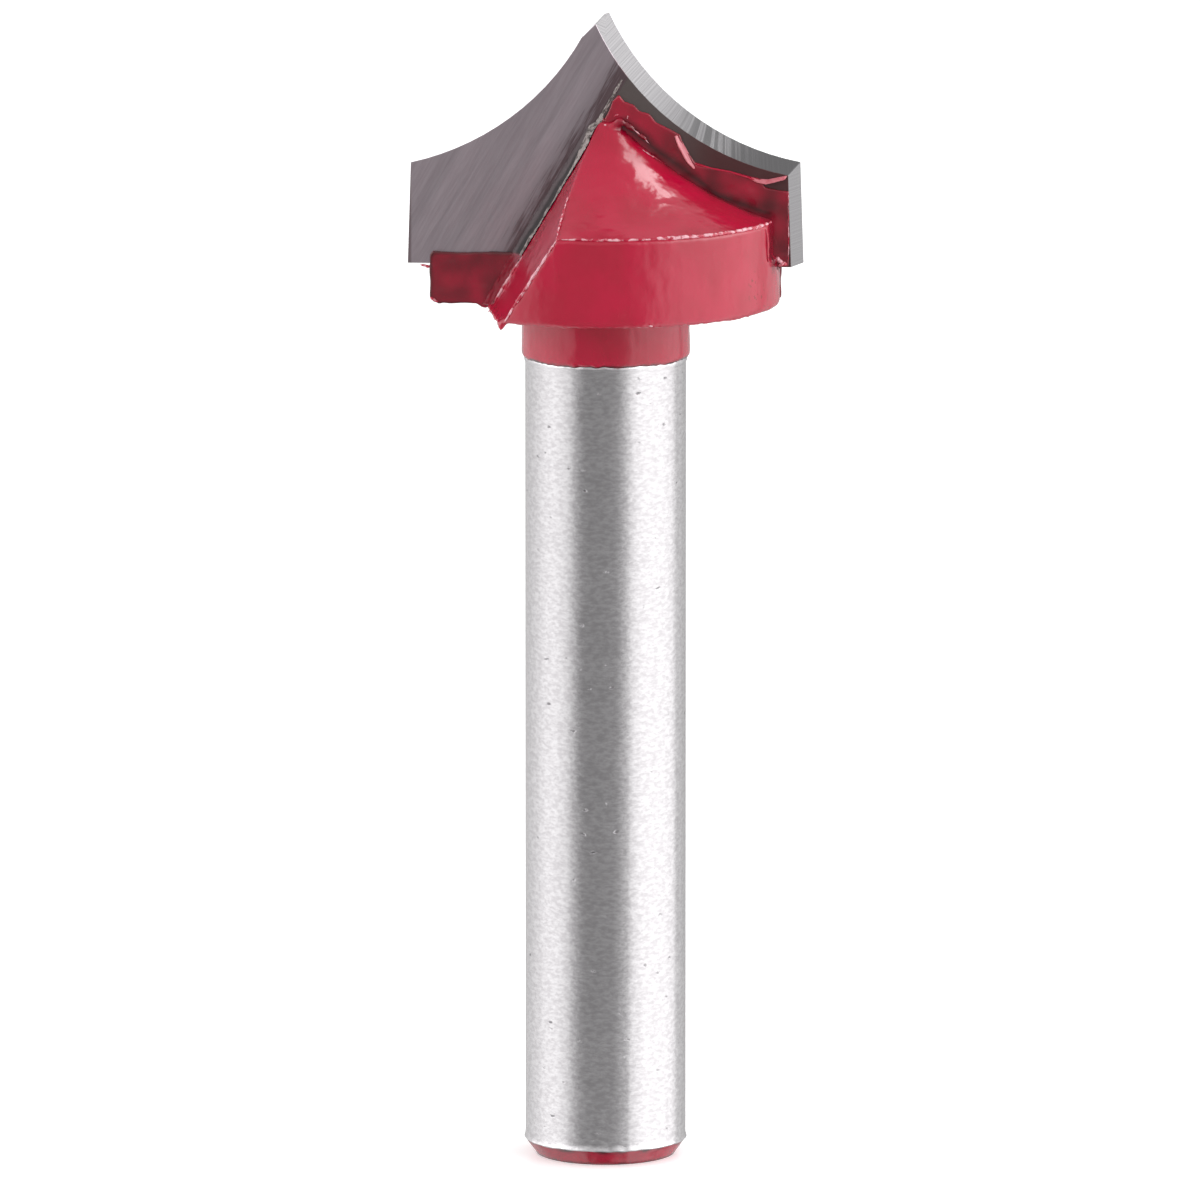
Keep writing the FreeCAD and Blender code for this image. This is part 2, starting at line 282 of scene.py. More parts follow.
def enamelFinish():
    material, tree, shader = newMaterial("redEnamel", {"IOR": enamelLook["ior"]})
    colour, skin = enamelColour(tree, millimetres(tree))
    link(tree, shader.inputs, {
        "Base Color": colour,
        "Roughness": fade(tree, skin["Depth"], *middling, *enamelLook["roughness"]),
        "Normal": bump(tree, skin["Ripple"], enamelLook["rippleDepth"]),
    })
    return material


def flakeHighlightFinish():
    # enamel lifted off the carbide, coloured pale pink as a painted highlight
    material, tree, shader = newMaterial("enamelFlakeHighlight", {"IOR": enamelLook["ior"]})
    feeds = {"Vector": millimetres(tree), "Ripple Scale": enamelLook["crustScale"]}
    skin = useGroup(tree, enamelSkin, feeds)
    redder = fade(tree, skin["Ripple"], *enamelLook["flakeRipples"], enamelLook["flakeRedness"], 0.0)
    link(tree, shader.inputs, {
        "Base Color": blend(tree, redder, enamelLook["flakeHighlight"], enamelLook["red"]),
        "Roughness": fade(tree, skin["Depth"], *middling, *enamelLook["flakeRoughness"]),
        "Normal": bump(tree, skin["Ripple"], enamelLook["rippleDepth"]),
    })
    return material


def paintedGlintFinish():
    # enamel beads along the edges, with pale flecks painted on as glints
    material, tree, shader = newMaterial("enamelPaintedGlints", {"IOR": enamelLook["ior"]})
    where = millimetres(tree)
    skin = useGroup(tree, enamelSkin, {"Vector": where, "Ripple Scale": enamelLook["crustScale"]})
    mottle = noiseField(tree, where, enamelLook["glintScale"], detail=3.0)
    # the pale flecks are painted glints
    glint = fade(tree, mottle, *enamelLook["glintRange"])
    link(tree, shader.inputs, {
        "Base Color": blend(tree, glint, enamelLook["red"], enamelLook["paintedGlint"]),
        "Roughness": fade(tree, glint, 0.0, 1.0, *enamelLook["paintedGlintRoughness"]),
        "Normal": bump(tree, skin["Ripple"], enamelLook["rippleDepth"]),
    })
    return material


# Bare steel of the shank

steelLook = {
    "bright": (0.64, 0.625, 0.637, 1),
    "dull": (0.5, 0.482, 0.495, 1),
    "pit": (0.22, 0.21, 0.22, 1),
    "stretch": (0.55, 0.55, 1.1),  # the grain is longer across the shank than up it
    "grain": {"Grain Scale": 6.5, "Pit Scale": 1.5, "Pit Size": 0.105},
    "grainDepth": 0.0095 * mm,
    "pitDepth": 1.8,  # as a share of the grain's height
    "contrast": (0.32, 0.68),
    "ringStretch": (0.25, 0.25, 1),
    "ringScale": 8.0,
    "turnedFrom": 0.7,  # lathe marks show this far below the enamel
    "roughness": (0.2, 0.27),
}


def steelFinish():
    material, tree, shader = newMaterial("satinSteel", {"Metallic": 1.0})
    where = millimetres(tree)
    level = moved(tree, where, stretch=steelLook["stretch"])
    metal = useGroup(tree, metalGrain, {"Vector": level, **steelLook["grain"]})
    drawnOut = moved(tree, where, stretch=steelLook["ringStretch"])
    rings = noiseField(tree, drawnOut, steelLook["ringScale"], detail=4.0, roughness=0.7)
    turned = fade(tree, axes(tree, where)["Z"], shankTop - steelLook["turnedFrom"], shankTop)
    surface = mixValues(tree, turned, metal["Grain"], rings)
    brightness = fade(tree, surface, *steelLook["contrast"])
    tone = blend(tree, brightness, steelLook["dull"], steelLook["bright"])
    dented = minus(tree, surface, times(tree, metal["Pits"], steelLook["pitDepth"]))
    link(tree, shader.inputs, {
        "Base Color": blend(tree, metal["Pits"], tone, steelLook["pit"]),
        "Roughness": fade(tree, metal["Cloud"], *middling, *steelLook["roughness"]),
        "Normal": bump(tree, dented, steelLook["grainDepth"]),
    })
    return material


# Carbide: its two ground faces, and its flanks, which end in the cutting edges

carbideLook = {
    "ground": (0.485, 0.42, 0.455, 1),
    "groundDark": (0.415, 0.35, 0.383, 1),
    # darker beside the braze, and painted shade along the cutting edge
    "darkened": (0.18, 0.128, 0.138, 1),
    "flank": (0.44, 0.43, 0.44, 1),
    "flankDark": (0.33, 0.32, 0.33, 1),
    "chatterDark": (0.22, 0.215, 0.22, 1),
    # painted shade towards the corner of the hollow
    "paintedCornerShade": (0.17, 0.165, 0.17, 1),
    "sintered": (0.075, 0.06, 0.057, 1),
    "stained": (0.058, 0.014, 0.015, 1),
    "streakAngle": math.radians(60),
    "streakFineness": 9.0,
    "streakDepth": 0.003 * mm,
    "darkening": (-1.35, -0.34),  # from faint to full, as distances past the ground line
    "darkeningRagged": (-0.35, 0.3),
    "darkeningCurve": 1.6,
    "edgeShade": (0.1, 0.18),  # painted shade along the cutting edge: its full part, and where it ends
    "edgeShadeShare": 0.65,
    "lineScale": 13.0,
    "lineMiddle": 0.45,
    "lineContrast": (0.28, 0.7),
    "straightShare": 0.4,  # how strong the lines are on the straight flanks
    "lineDepth": 0.15,  # as a share of the streaks' depth
    "chatterScale": 3.4,
    "chatterContrast": (0.42, 0.6),
    "chatterFrom": (2.6, 3.8),  # out from the axis, as the next three
    "chatterTo": (5.2, 6.2),
    # where the painted shade towards the corner starts and is full
    "cornerShadeFrom": (4.0, 6.2),
    "stainedFrom": (2.2, 4.6),
    "cornerShadeShare": 0.8,
    "faceWithin": 0.012,  # so near to the front of the plate is its face
    "faceRoughness": (0.34, 0.44),
    "flankRoughness": 0.13,
}

hollow = {  # the round that the hollow edges follow, in the middle of the plate
    "across": 9.75,
    "height": 49.72,
    "radius": 10.43,
    "reliefAcross": 0.308,  # how its centre moves as one goes through the plate
    "reliefHeight": 0.277,
    "bottom": 39.5,  # below this the flank is straight
    "lean": 0.42,
    "leanFrom": (2.0, 5.0),
}


def alongFlank(tree, where):
    # distance along the edge, whether the edge is hollow or straight here, and distance from the axis
    place = axes(tree, where)
    outward = maths(tree, "ABSOLUTE", place["X"])
    through = times(tree, place["Y"], maths(tree, "SIGN", place["X"]))
    centre = maths(tree, "ADD", times(tree, through, hollow["reliefAcross"]), hollow["across"])
    height = minus(tree, place["Z"], times(tree, through, hollow["reliefHeight"]))
    turn = maths(tree, "ARCTAN2", minus(tree, hollow["height"], height), minus(tree, centre, outward))
    lean = times(tree, through, fade(tree, outward, *hollow["leanFrom"], 0.0, hollow["lean"]))
    rounded = maths(tree, "ADD", times(tree, turn, hollow["radius"]), lean)
    onHollow = maths(tree, "GREATER_THAN", height, hollow["bottom"])
    return mixValues(tree, onHollow, place["Z"], rounded), onHollow, outward


def carbideFace(tree, place, streaks):
    # wheel marks, darker beside the braze, and painted shade along the cutting edge
    tone = fade(tree, streaks["Streaks"], *middling)
    face = blend(tree, tone, carbideLook["groundDark"], carbideLook["ground"])
    stray = fade(tree, streaks["Streaks"], *middling, *carbideLook["darkeningRagged"])
    darkening = fade(tree, maths(tree, "ADD", place["Past"], stray), *carbideLook["darkening"])
    darkened = maths(tree, "POWER", darkening, carbideLook["darkeningCurve"])
    face = blend(tree, darkened, face, carbideLook["darkened"])
    # painted shade: a dark band along the cutting edge
    full, end = (bladeLow.x + width for width in carbideLook["edgeShade"])
    edgeShade = fade(tree, place["Outward"], full, end, carbideLook["edgeShadeShare"], 0.0)
    return blend(tree, edgeShade, face, carbideLook["darkened"])


def carbideFlank(tree, where):
    # fine lines right across, chatter half way down the hollow, and painted shade towards its corner
    along, onHollow, outward = alongFlank(tree, where)
    lines = lineNoise(tree, along, carbideLook["lineScale"], detail=3.0)
    clear = fade(tree, onHollow, 0.0, 1.0, carbideLook["straightShare"], 1.0)
    tone = fade(tree, mixValues(tree, clear, carbideLook["lineMiddle"], lines), *carbideLook["lineContrast"])
    flank = blend(tree, tone, carbideLook["flankDark"], carbideLook["flank"])
    started = fade(tree, outward, *carbideLook["chatterFrom"])
    stretch = times(tree, started, fade(tree, outward, *carbideLook["chatterTo"], 1.0, 0.0))
    waves = lineNoise(tree, along, carbideLook["chatterScale"], detail=1.0)
    chatter = fade(tree, waves, *carbideLook["chatterContrast"], 1.0, 0.0)
    flank = blend(tree, times(tree, chatter, stretch), flank, carbideLook["chatterDark"])
    # painted shade: the flank darkens towards its corner
    shadeNearCorner = fade(tree, outward, *carbideLook["cornerShadeFrom"], 0.0, carbideLook["cornerShadeShare"])
    return blend(tree, times(tree, shadeNearCorner, onHollow), flank, carbideLook["paintedCornerShade"]), lines


def carbideFinish():
    material, tree, shader = newMaterial("groundCarbide", {})
    where = millimetres(tree)
    place = useGroup(tree, diagonalPlace, {"Vector": where})
    along = moved(tree, where, turn=(0, carbideLook["streakAngle"], 0))
    streaks = useGroup(tree, wheelStreaks, {"Vector": along, "Fineness": carbideLook["streakFineness"]})
    face = carbideFace(tree, place, streaks)
    flank, lines = carbideFlank(tree, where)
    onFace = maths(tree, "GREATER_THAN", place["Depth"], -bladeFront - carbideLook["faceWithin"])
    ground = blend(tree, onFace, flank, face)
    # past the ground line the face was never ground, and enamel has stained it
    stain = fade(tree, place["Outward"], *carbideLook["stainedFrom"])
    sintered = blend(tree, stain, carbideLook["sintered"], carbideLook["stained"])
    unground = times(tree, onFace, maths(tree, "GREATER_THAN", place["Past"], 0.0))
    faceRough = fade(tree, streaks["Bands"], *middling, *carbideLook["faceRoughness"])
    relief = mixValues(tree, onFace, times(tree, lines, carbideLook["lineDepth"]), streaks["Streaks"])
    link(tree, shader.inputs, {
        "Base Color": blend(tree, unground, ground, sintered),
        "Metallic": minus(tree, 1.0, unground),
        "Roughness": mixValues(tree, onFace, carbideLook["flankRoughness"], faceRough),
        "Normal": bump(tree, relief, carbideLook["streakDepth"]),
    })
    return material


# Braze: nearly black next to the carbide, a bright ground line, then enamel

brazeLook = {
    "silver": (0.4, 0.355, 0.34, 1),
    "tarnish": (0.075, 0.058, 0.055, 1),
    "dimBraze": (0.085, 0.063, 0.068, 1),
    "blackBraze": (0.008, 0.005, 0.005, 1),
    "ior": 1.6,
    "grainScale": 5.0,
    "streakFineness": 7.0,
    "wander": 0.05,  # how far the bands stray from the ground line
    "blackFrom": (-0.32, -0.18),  # past the ground line, as the next two
    "lineEnd": 0.05,
    "paintFrom": (0.04, 0.09),
    "lineWidth": (0.07, 0.36),  # low down, and beside the crown
    "widens": (39.3, 41.4),
    "paintBelow": (36.11, 36.25),
    "lumps": (0.4, 0.56),
    "lumpDepth": 0.015 * mm,
    "shine": 0.5,
    "roughness": (0.19, 0.65),
}


def brazeFinish():
    material, tree, shader = newMaterial("silverBraze", {"IOR": brazeLook["ior"]})
    where = millimetres(tree)
    place = useGroup(tree, diagonalPlace, {"Vector": where})
    metal = useGroup(tree, metalGrain, {"Vector": where, "Grain Scale": brazeLook["grainScale"]})
    along = moved(tree, where, turn=(0, carbideLook["streakAngle"], 0))
    drawn = useGroup(tree, wheelStreaks, {"Vector": along, "Fineness": brazeLook["streakFineness"]})
    wander = fade(tree, metal["Cloud"], *middling, -brazeLook["wander"], brazeLook["wander"])
    past = maths(tree, "ADD", place["Past"], wander)
    narrow, wide = brazeLook["lineWidth"]
    lineStart = fade(tree, place["Height"], *brazeLook["widens"], -narrow, -wide)
    inside = maths(tree, "LESS_THAN", past, brazeLook["lineEnd"])
    shine = times(tree, maths(tree, "GREATER_THAN", past, lineStart), inside)
    lumps = fade(tree, mixValues(tree, 0.5, drawn["Streaks"], metal["Grain"]), *brazeLook["lumps"])
    line = blend(tree, lumps, brazeLook["tarnish"], brazeLook["silver"])
    darkBand = blend(tree, fade(tree, past, *brazeLook["blackFrom"]), brazeLook["dimBraze"], brazeLook["blackBraze"])
    below = fade(tree, place["Height"], *brazeLook["paintBelow"], 1.0, 0.0)
    painted = maths(tree, "MAXIMUM", fade(tree, past, *brazeLook["paintFrom"]), below)
    bare = minus(tree, 1.0, painted)
    colour, skin = enamelColour(tree, where)
    link(tree, shader.inputs, {
        "Base Color": blend(tree, painted, blend(tree, shine, darkBand, line), colour),
        "Metallic": times(tree, times(tree, bare, shine), brazeLook["shine"]),
        "Roughness": fade(tree, bare, 0.0, 1.0, *brazeLook["roughness"]),
        "Normal": bump(tree, metal["Grain"], brazeLook["lumpDepth"]),
    })
    return material


enamel = enamelFinish()
flakeHighlight = flakeHighlightFinish()
paintedGlint = paintedGlintFinish()
steel = steelFinish()
carbide = carbideFinish()
braze = brazeFinish()
print("finishes ready")


# Helpers for pieces: each is modelled in millimetres and shrunk to metres at the end

mergeWithin = 0.0005


def addPiece(name, bm, material, sharpAngle=180):
    bmesh.ops.scale(bm, vec=(mm, mm, mm), verts=bm.verts)
    mesh = bpy.data.meshes.new(name)
    bm.to_mesh(mesh)
    bm.free()
    mesh.materials.append(material)
    mesh.shade_smooth()
    mesh.set_sharp_from_angle(angle=math.radians(sharpAngle))
    piece = bpy.data.objects.new(name, mesh)
    bpy.context.scene.collection.objects.link(piece)
    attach(piece, "root")
    print(name, "has", len(mesh.polygons), "faces")
    return piece


def nodeCopy(name):
    # a node's mesh is loose triangles, so its copy is merged first
    bm = bmesh.new()
    bm.from_mesh(frame["nodes"][name].data)
    bmesh.ops.scale(bm, vec=(1 / mm, 1 / mm, 1 / mm), verts=bm.verts)
    bmesh.ops.remove_doubles(bm, verts=bm.verts, dist=mergeWithin)
    return bm


def evaluated(thing):
    # the mesh that an object's modifiers or a curve's bevel give, with the object taken away again
    bpy.context.scene.collection.objects.link(thing)
    shown = thing.evaluated_get(bpy.context.evaluated_depsgraph_get())
    result = bmesh.new()
    result.from_mesh(bpy.data.meshes.new_from_object(shown))
    bpy.data.objects.remove(thing)
    return result


def skinned(bm, voxel, passes):
    # one closed skin over everything in bm, with its edges rounded as paint or solder rounds them
    mesh = bpy.data.meshes.new("core")
    bm.to_mesh(mesh)
    bm.free()
    core = bpy.data.objects.new("core", mesh)
    remesh = core.modifiers.new("skin", "REMESH")
    remesh.mode = "VOXEL"
    remesh.voxel_size = voxel
    soften = core.modifiers.new("soften", "SMOOTH")
    soften.factor = 0.5
    soften.iterations = passes
    return evaluated(core)


def roughened(bm, amount, scale, bias=0.0):
    bm.normal_update()
    for vert in bm.verts:
        vert.co += vert.normal * amount * (noise.noise(vert.co * scale) + bias)
    return bm


def addBlob(bm, centre, radii, turn=0.0):
    # one drop on the front, and the same drop on the back
    drop = Matrix.Translation(centre) @ Matrix.Rotation(turn, 4, "Y") @ Matrix.Diagonal((*radii, 1))
    for place in (drop, Matrix.Rotation(math.pi, 4, "Z") @ drop):
        bmesh.ops.create_icosphere(bm, subdivisions=3, radius=1.0, matrix=place)


def allOf(bm):
    return bm.verts[:] + bm.edges[:] + bm.faces[:]


def vertsIn(items):
    return [item for item in items if isinstance(item, bmesh.types.BMVert)]


def turnHalfRound(bm, verts):
    bmesh.ops.rotate(bm, verts=verts, cent=(0, 0, 0), matrix=Matrix.Rotation(math.pi, 3, "Z"))


def awayFromAxis(place):
    return place.xy.normalized().to_3d()


def limited(share):
    return min(max(share, 0), 1)


# Marks in the enamel, kept with each vertex: painted shade in creases, recesses and along edges, with random
# mottling, and how worn it is

enamelMarks = {
    "shadeAndMottle": [  # painted shade along creases and outlines: its line on the front, and how far it reaches from there
        ([(0.8, -0.75, 41.3), (1.6, -0.75, 40.75), (1.88, -0.75, 40.43), (2.98, -0.75, 39.67),
          (4.47, -0.75, 38.55), (6.0, -0.75, 38.0), (6.5, -0.75, 37.85)], 0.52),
        ([(-6.88, -0.78, 34.2), (-6.88, -0.78, 35.95), (-6.7, -0.78, 36.18), (-3.6, -0.78, 36.2)], 0.36),
        ([(-6.8, -0.78, 34.11), (-5.4, -0.78, 34.11), (-4.95, -0.78, 33.98)], 0.32),
        ([(6.74, -1.3, 37.4), (6.76, -1.3, 36.0)], 0.6),
    ],
    "shadeBetween": (-1.9, -0.5),  # how far forward those lines count
    "blockFrom": (-4.5, -0.8),  # the block below the blade lies left of the first and behind the second
    "shadeFadeFrom": 40.7,  # over the millimetre above this height the painted shade fades
    "shadeFade": 0.35,
    "mottleScale": 1.3,
    "shadedRims": [  # painted shade along edges: height, how far it reaches up and down, and how dark it is
        (0.0, 0.12, 0.7), (shankLow, 0.2, 0.75), (shankTop + 0.02, 0.12, 1.1),
    ],
    "shadedRimScale": 2,
    "worn": [  # place and reach
        ((6.2, -2.94, 34.9), 0.95), ((6.4, -2.5, 34.65), 0.6), ((6.05, -3.2, 35.5), 0.5),
    ],
    "wornShare": 2.0,
}


def fromLine(place, line):
    gaps = []
    for start, end in zip(line, line[1:]):
        foot, share = intersect_point_line(place, start, end)
        if share < 0:
            foot = start
        elif share > 1:
            foot = end
        gaps.append((place - foot).length)
    return min(gaps)


def markEnamel(bm, everywhere=0.0, mottle=0.0, block=0.0):
    bm.verts.layers.float.new("worn")
    shadeAndMottle = bm.verts.layers.float.new("shadeAndMottle")
    worn = bm.verts.layers.float["worn"]
    lines = [([Vector(point) for point in line], reach) for line, reach in enamelMarks["shadeAndMottle"]]
    furthest, nearest = enamelMarks["shadeBetween"]
    blockAcross, blockFront = enamelMarks["blockFrom"]
    for vert in bm.verts:
        place = vert.co if vert.co.y < 0 else Vector((-vert.co.x, -vert.co.y, vert.co.z))
        shadeFade = enamelMarks["shadeFade"] * limited(place.z - enamelMarks["shadeFadeFrom"])
        depth = max(everywhere - shadeFade + mottle * noise.noise(place * enamelMarks["mottleScale"]), 0)
        # painted shade near the crease and outline lines
        if furthest < place.y < nearest:
            depth = max([depth] + [1 - fromLine(place, line) / reach for line, reach in lines])
        # painted shade over the block below the blade
        if place.x < blockAcross and place.y > blockFront:
            depth = max(depth, block)
        # painted shade along the edges of the foot and below the collar
        for height, reach, dark in enamelMarks["shadedRims"]:
            gap = abs(place.z - height)
            if gap < reach:
                darkness = dark + noise.noise(place * enamelMarks["shadedRimScale"])
                depth = max(depth, darkness * (1 - gap / reach))
        vert[shadeAndMottle] = depth
        shares = [1 - (place - Vector(centre)).length / reach for centre, reach in enamelMarks["worn"]]
        vert[worn] = max(0, enamelMarks["wornShare"] * max(shares))


# Shank: bare steel with a burr at its foot and a rough lip below the collar, and the enamel of the foot

shank = {
    "steps": 320,
    "hiddenTop": 0.6,  # how far it runs up inside the collar
    "burr": [(-0.005, -0.01), (0.045, 0.04), (0.01, 0.15), (0.0, 0.3)],  # out, and up from the foot
    "lip": [(0.0, -0.2), (0.04, -0.09), (0.04, -0.02), (0.0, 0.05)],  # out, and up from the collar's edge
    "evenBetween": (0.2, 0.1),  # from the foot, and from the collar
    "middle": 1.0,  # nearer to the axis than this its ends stay flat
    "uneven": 0.035,
    "unevenOut": 0.6,  # sideways, as a share of up and down
    "unevenScale": 2.5,
}


def turnedBy(profile, steps):
    bm = bmesh.new()
    corners = [bm.verts.new((radius, 0, height)) for radius, height in profile]
    edges = [bm.edges.new(pair) for pair in zip(corners, corners[1:])]
    bmesh.ops.spin(bm, geom=corners + edges, cent=(0, 0, 0), axis=(0, 0, 1), angle=math.tau,
                   steps=steps, use_merge=True, use_duplicate=False)
    bmesh.ops.remove_doubles(bm, verts=bm.verts, dist=mergeWithin)
    bmesh.ops.recalc_face_normals(bm, faces=bm.faces)
    return bm


def shankPiece():
    burr = [(shankRadius + out, shankLow + up) for out, up in shank["burr"]]
    lip = [(shankRadius + out, shankTop + up) for out, up in shank["lip"]]
    top = shankTop + shank["hiddenTop"]
    bm = turnedBy([(0, shankLow), *burr, *lip, (shankRadius, top), (0, top)], shank["steps"])
    evenLow, evenHigh = shank["evenBetween"]
    for vert in bm.verts:
        even = shankLow + evenLow < vert.co.z < shankTop - evenHigh
        if even or vert.co.xy.length < shank["middle"]:
            continue
        rough = shank["uneven"] * noise.noise(vert.co * shank["unevenScale"])
        vert.co += awayFromAxis(vert.co) * rough * shank["unevenOut"] + Vector((0, 0, rough))
    return addPiece("steel_shank", bm, steel, sharpAngle=40)


foot = {
    "chamfer": 0.45,
    "round": 0.1,
    "stations": (0.25, 0.5, 0.75, 0.88),  # up the chamfer, as shares of its height
    "lap": [(0.0, 0.02), (-0.06, 0.05)],  # its upper edge: out from the shank, and up from its foot
    "evenBelow": 0.05,
    "waver": 0.02,
    "waverScale": 3.0,
    "depth": 0.12,
    "mottle": 0.3,
}


def footPiece():
    endRadius = shankRadius - foot["chamfer"]
    slant = shankRadius - endRadius
    edge = foot["round"]
    base = [(0, 0), (endRadius - edge, 0), (endRadius + 0.3 * edge, 0.15 * edge)]
    side = [(endRadius + slant * share, shankLow * share) for share in foot["stations"]]
    lap = [(shankRadius + out, shankLow + up) for out, up in foot["lap"]]
    bm = turnedBy([*base, *side, *lap, (0, lap[-1][1])], shank["steps"])
    for vert in bm.verts:
        if vert.co.z > foot["evenBelow"] and vert.co.xy.length > shank["middle"]:
            waver = noise.noise(vert.co * foot["waverScale"])
            vert.co += awayFromAxis(vert.co) * foot["waver"] * waver
    # a slight darkening all over with random mottling, and painted shade along its edges
    markEnamel(bm, everywhere=foot["depth"], mottle=foot["mottle"])
    return addPiece("enamel_foot", bm, enamel, sharpAngle=60)


shankBody = shankPiece()
footPiece()
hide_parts("bit_body")


# Head: drum, crown, flutes and collar under one coat of enamel, with its drops

head = {
    "cutBelow": 0.05,
    "voxel": 0.085,
    "passes": 3,
    "ripple": 0.02,
    "rippleScale": 1.5,
    "fineRipple": 0.006,
    "fineScale": 5.0,
    "blockShade": 0.42,
    "hem": 0.055,  # how far the collar's lower edge wanders
    "hemHigh": 0.35,  # above the edge, where the wander starts
    "hemFade": 0.25,
    "hemScales": (1.3, 4.5),
    "hemQuick": 0.7,  # share of the finer of those two
    "drops": [  # centre, radii and turn, on the front
        ((-4.45, -1.05, 34.09), (0.15, 0.5, 0.16), 0.0),
        ((-4.31, -1.8, 34.07), (0.15, 0.6, 0.2), 0.0),
        ((-4.16, -2.6, 34.08), (0.15, 0.6, 0.16), 0.0),
        ((-4.02, -3.4, 34.07), (0.15, 0.6, 0.19), 0.0),
        ((-3.87, -4.2, 34.08), (0.15, 0.6, 0.16), 0.0),
        ((-3.72, -5.0, 34.07), (0.16, 0.6, 0.2), 0.0),
        ((-3.62, -5.55, 34.06), (0.16, 0.28, 0.22), 0.3),
        ((-3.6, -5.7, 33.98), (0.11, 0.13, 0.2), 0.5),
        ((0.62, -0.84, 41.42), (0.24, 0.14, 0.2), 0.3),
        ((0.35, -0.84, 41.25), (0.22, 0.16, 0.2), 0.0),
        ((1.0, -0.82, 41.22), (0.3, 0.12, 0.14), 0.6),
        ((1.5, -0.86, 40.85), (0.3, 0.12, 0.12), 0.6),
    ],
}


def headPiece():
    bm = nodeCopy("bit_body")
    cut = (0, 0, shankTop - head["cutBelow"])
    bmesh.ops.bisect_plane(bm, geom=allOf(bm), plane_co=cut, plane_no=(0, 0, 1), clear_inner=True)
    bmesh.ops.holes_fill(bm, edges=[edge for edge in bm.edges if edge.is_boundary])
    for centre, radii, turn in head["drops"]:
        addBlob(bm, centre, radii, turn)
    bm = skinned(bm, head["voxel"], head["passes"])
    roughened(bm, head["ripple"], head["rippleScale"], bias=-0.6)
    roughened(bm, head["fineRipple"], head["fineScale"], bias=-0.5)
    # the block below the blade darkened as painted shade
    markEnamel(bm, block=head["blockShade"])
    slow, quick = head["hemScales"]
    for vert in bm.verts:
        low = limited((shankTop + head["hemHigh"] - vert.co.z) / head["hemFade"])
        wander = noise.noise(vert.co * slow) + head["hemQuick"] * noise.noise(vert.co * quick)
        vert.co.z += low * head["hem"] * wander
    return addPiece("enamel_head", bm, enamel)


headBody = headPiece()
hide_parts("bit_body")


# Blade: the ground plate, with the thinnest break along its edges

blade = {"edgeBreak": 0.014, "flatWithin": math.radians(0.5), "sharpFrom": math.radians(30)}


def bladePiece():
    bm = nodeCopy("carbide_blade")
    bmesh.ops.dissolve_limit(bm, angle_limit=blade["flatWithin"], verts=bm.verts, edges=bm.edges)
    sharp = [edge for edge in bm.edges if edge.calc_face_angle(0.0) > blade["sharpFrom"]]
    bmesh.ops.bevel(bm, geom=sharp, offset=blade["edgeBreak"], segments=1, profile=0.5,
                    affect="EDGES", material=-1)
    return addPiece("carbide_plate", bm, carbide, sharpAngle=15)


bladeBody = bladePiece()
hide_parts("carbide_blade")


# Braze: the bead along each flute and the smear that runs on towards the point

solder = {
    "voxel": 0.06,
    "passes": 2,
    "ripple": 0.03,
    "rippleScale": 3.5,
    "smearFrom": (-0.9, -0.76, 40.15),
    "smearTo": (0.6, -0.665, 42.9),
    "smearSteps": 14,
    "smearRadii": (0.16, 0.08),
    "smearFlatness": 0.45,
    "smearLength": 0.24,
    "depth": 0.6,
}


def solderPiece():
    bm = nodeCopy("braze_joint")
    start, end = Vector(solder["smearFrom"]), Vector(solder["smearTo"])
    thick, thin = solder["smearRadii"]
    for step in range(solder["smearSteps"]):
        share = step / (solder["smearSteps"] - 1)
        radius = thick + (thin - thick) * share
        radii = (radius, radius * solder["smearFlatness"], solder["smearLength"])
        addBlob(bm, start.lerp(end, share), radii, math.pi / 2 - groundLine["slope"])
    bm = skinned(bm, solder["voxel"], solder["passes"])
    roughened(bm, solder["ripple"], solder["rippleScale"], bias=-0.3)
    # its painted part darkened all over as painted shade, deepest along the crease
    markEnamel(bm, everywhere=solder["depth"])
    return addPiece("braze_bead", bm, braze)


solderBody = solderPiece()
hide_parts("braze_joint")


# Enamel on the covered face of the blade, and over the block below the side that cuts

coat = {
    "voxel": 0.045,
    "passes": 3,
    "ripple": 0.03,
    "rippleScale": 2.2,
    "depth": 0.54,
    "mottle": 0.4,
    "sheets": {  # where each lies through the blade, and its outline across and up the blade's face
        "coat": {"back": -0.62, "front": -0.735, "outline": [
            (0.3, 42.2), (0.57, 42.46), (0.8, 42.2), (1.15, 42.1), (1.4, 41.84), (1.76, 41.74), (2.05, 41.4),
            (2.38, 41.22), (2.98, 40.92), (3.16, 40.4), (3.65, 39.72), (4.24, 39.6), (4.95, 39.5),
            (5.54, 39.36), (6.2, 39.2), (6.33, 38.86), (6.8, 38.78), (7.27, 38.72), (7.28, 36.6),
            (7.28, 35.72), (6.5, 35.72), (5.6, 37.2), (4.4, 37.9), (2.9, 39.0), (1.7, 39.9), (0.6, 40.8),
            (0.1, 41.1), (0.02, 41.5), (0.2, 41.9),
        ]},
        "block": {"back": -0.66, "front": -0.79, "outline": [
            (-6.88, 34.32), (-6.89, 35.96), (-6.87, 36.1), (-6.75, 36.19), (-5.6, 36.16), (-4.5, 36.18),
            (-3.6, 36.18), (-3.4, 36.08), (-3.42, 35.9), (-4.5, 34.08), (-4.66, 33.96), (-4.84, 33.98),
            (-5.05, 34.14), (-5.7, 34.12), (-6.3, 34.14), (-6.55, 34.08), (-6.72, 34.2),
        ]},
    },
}


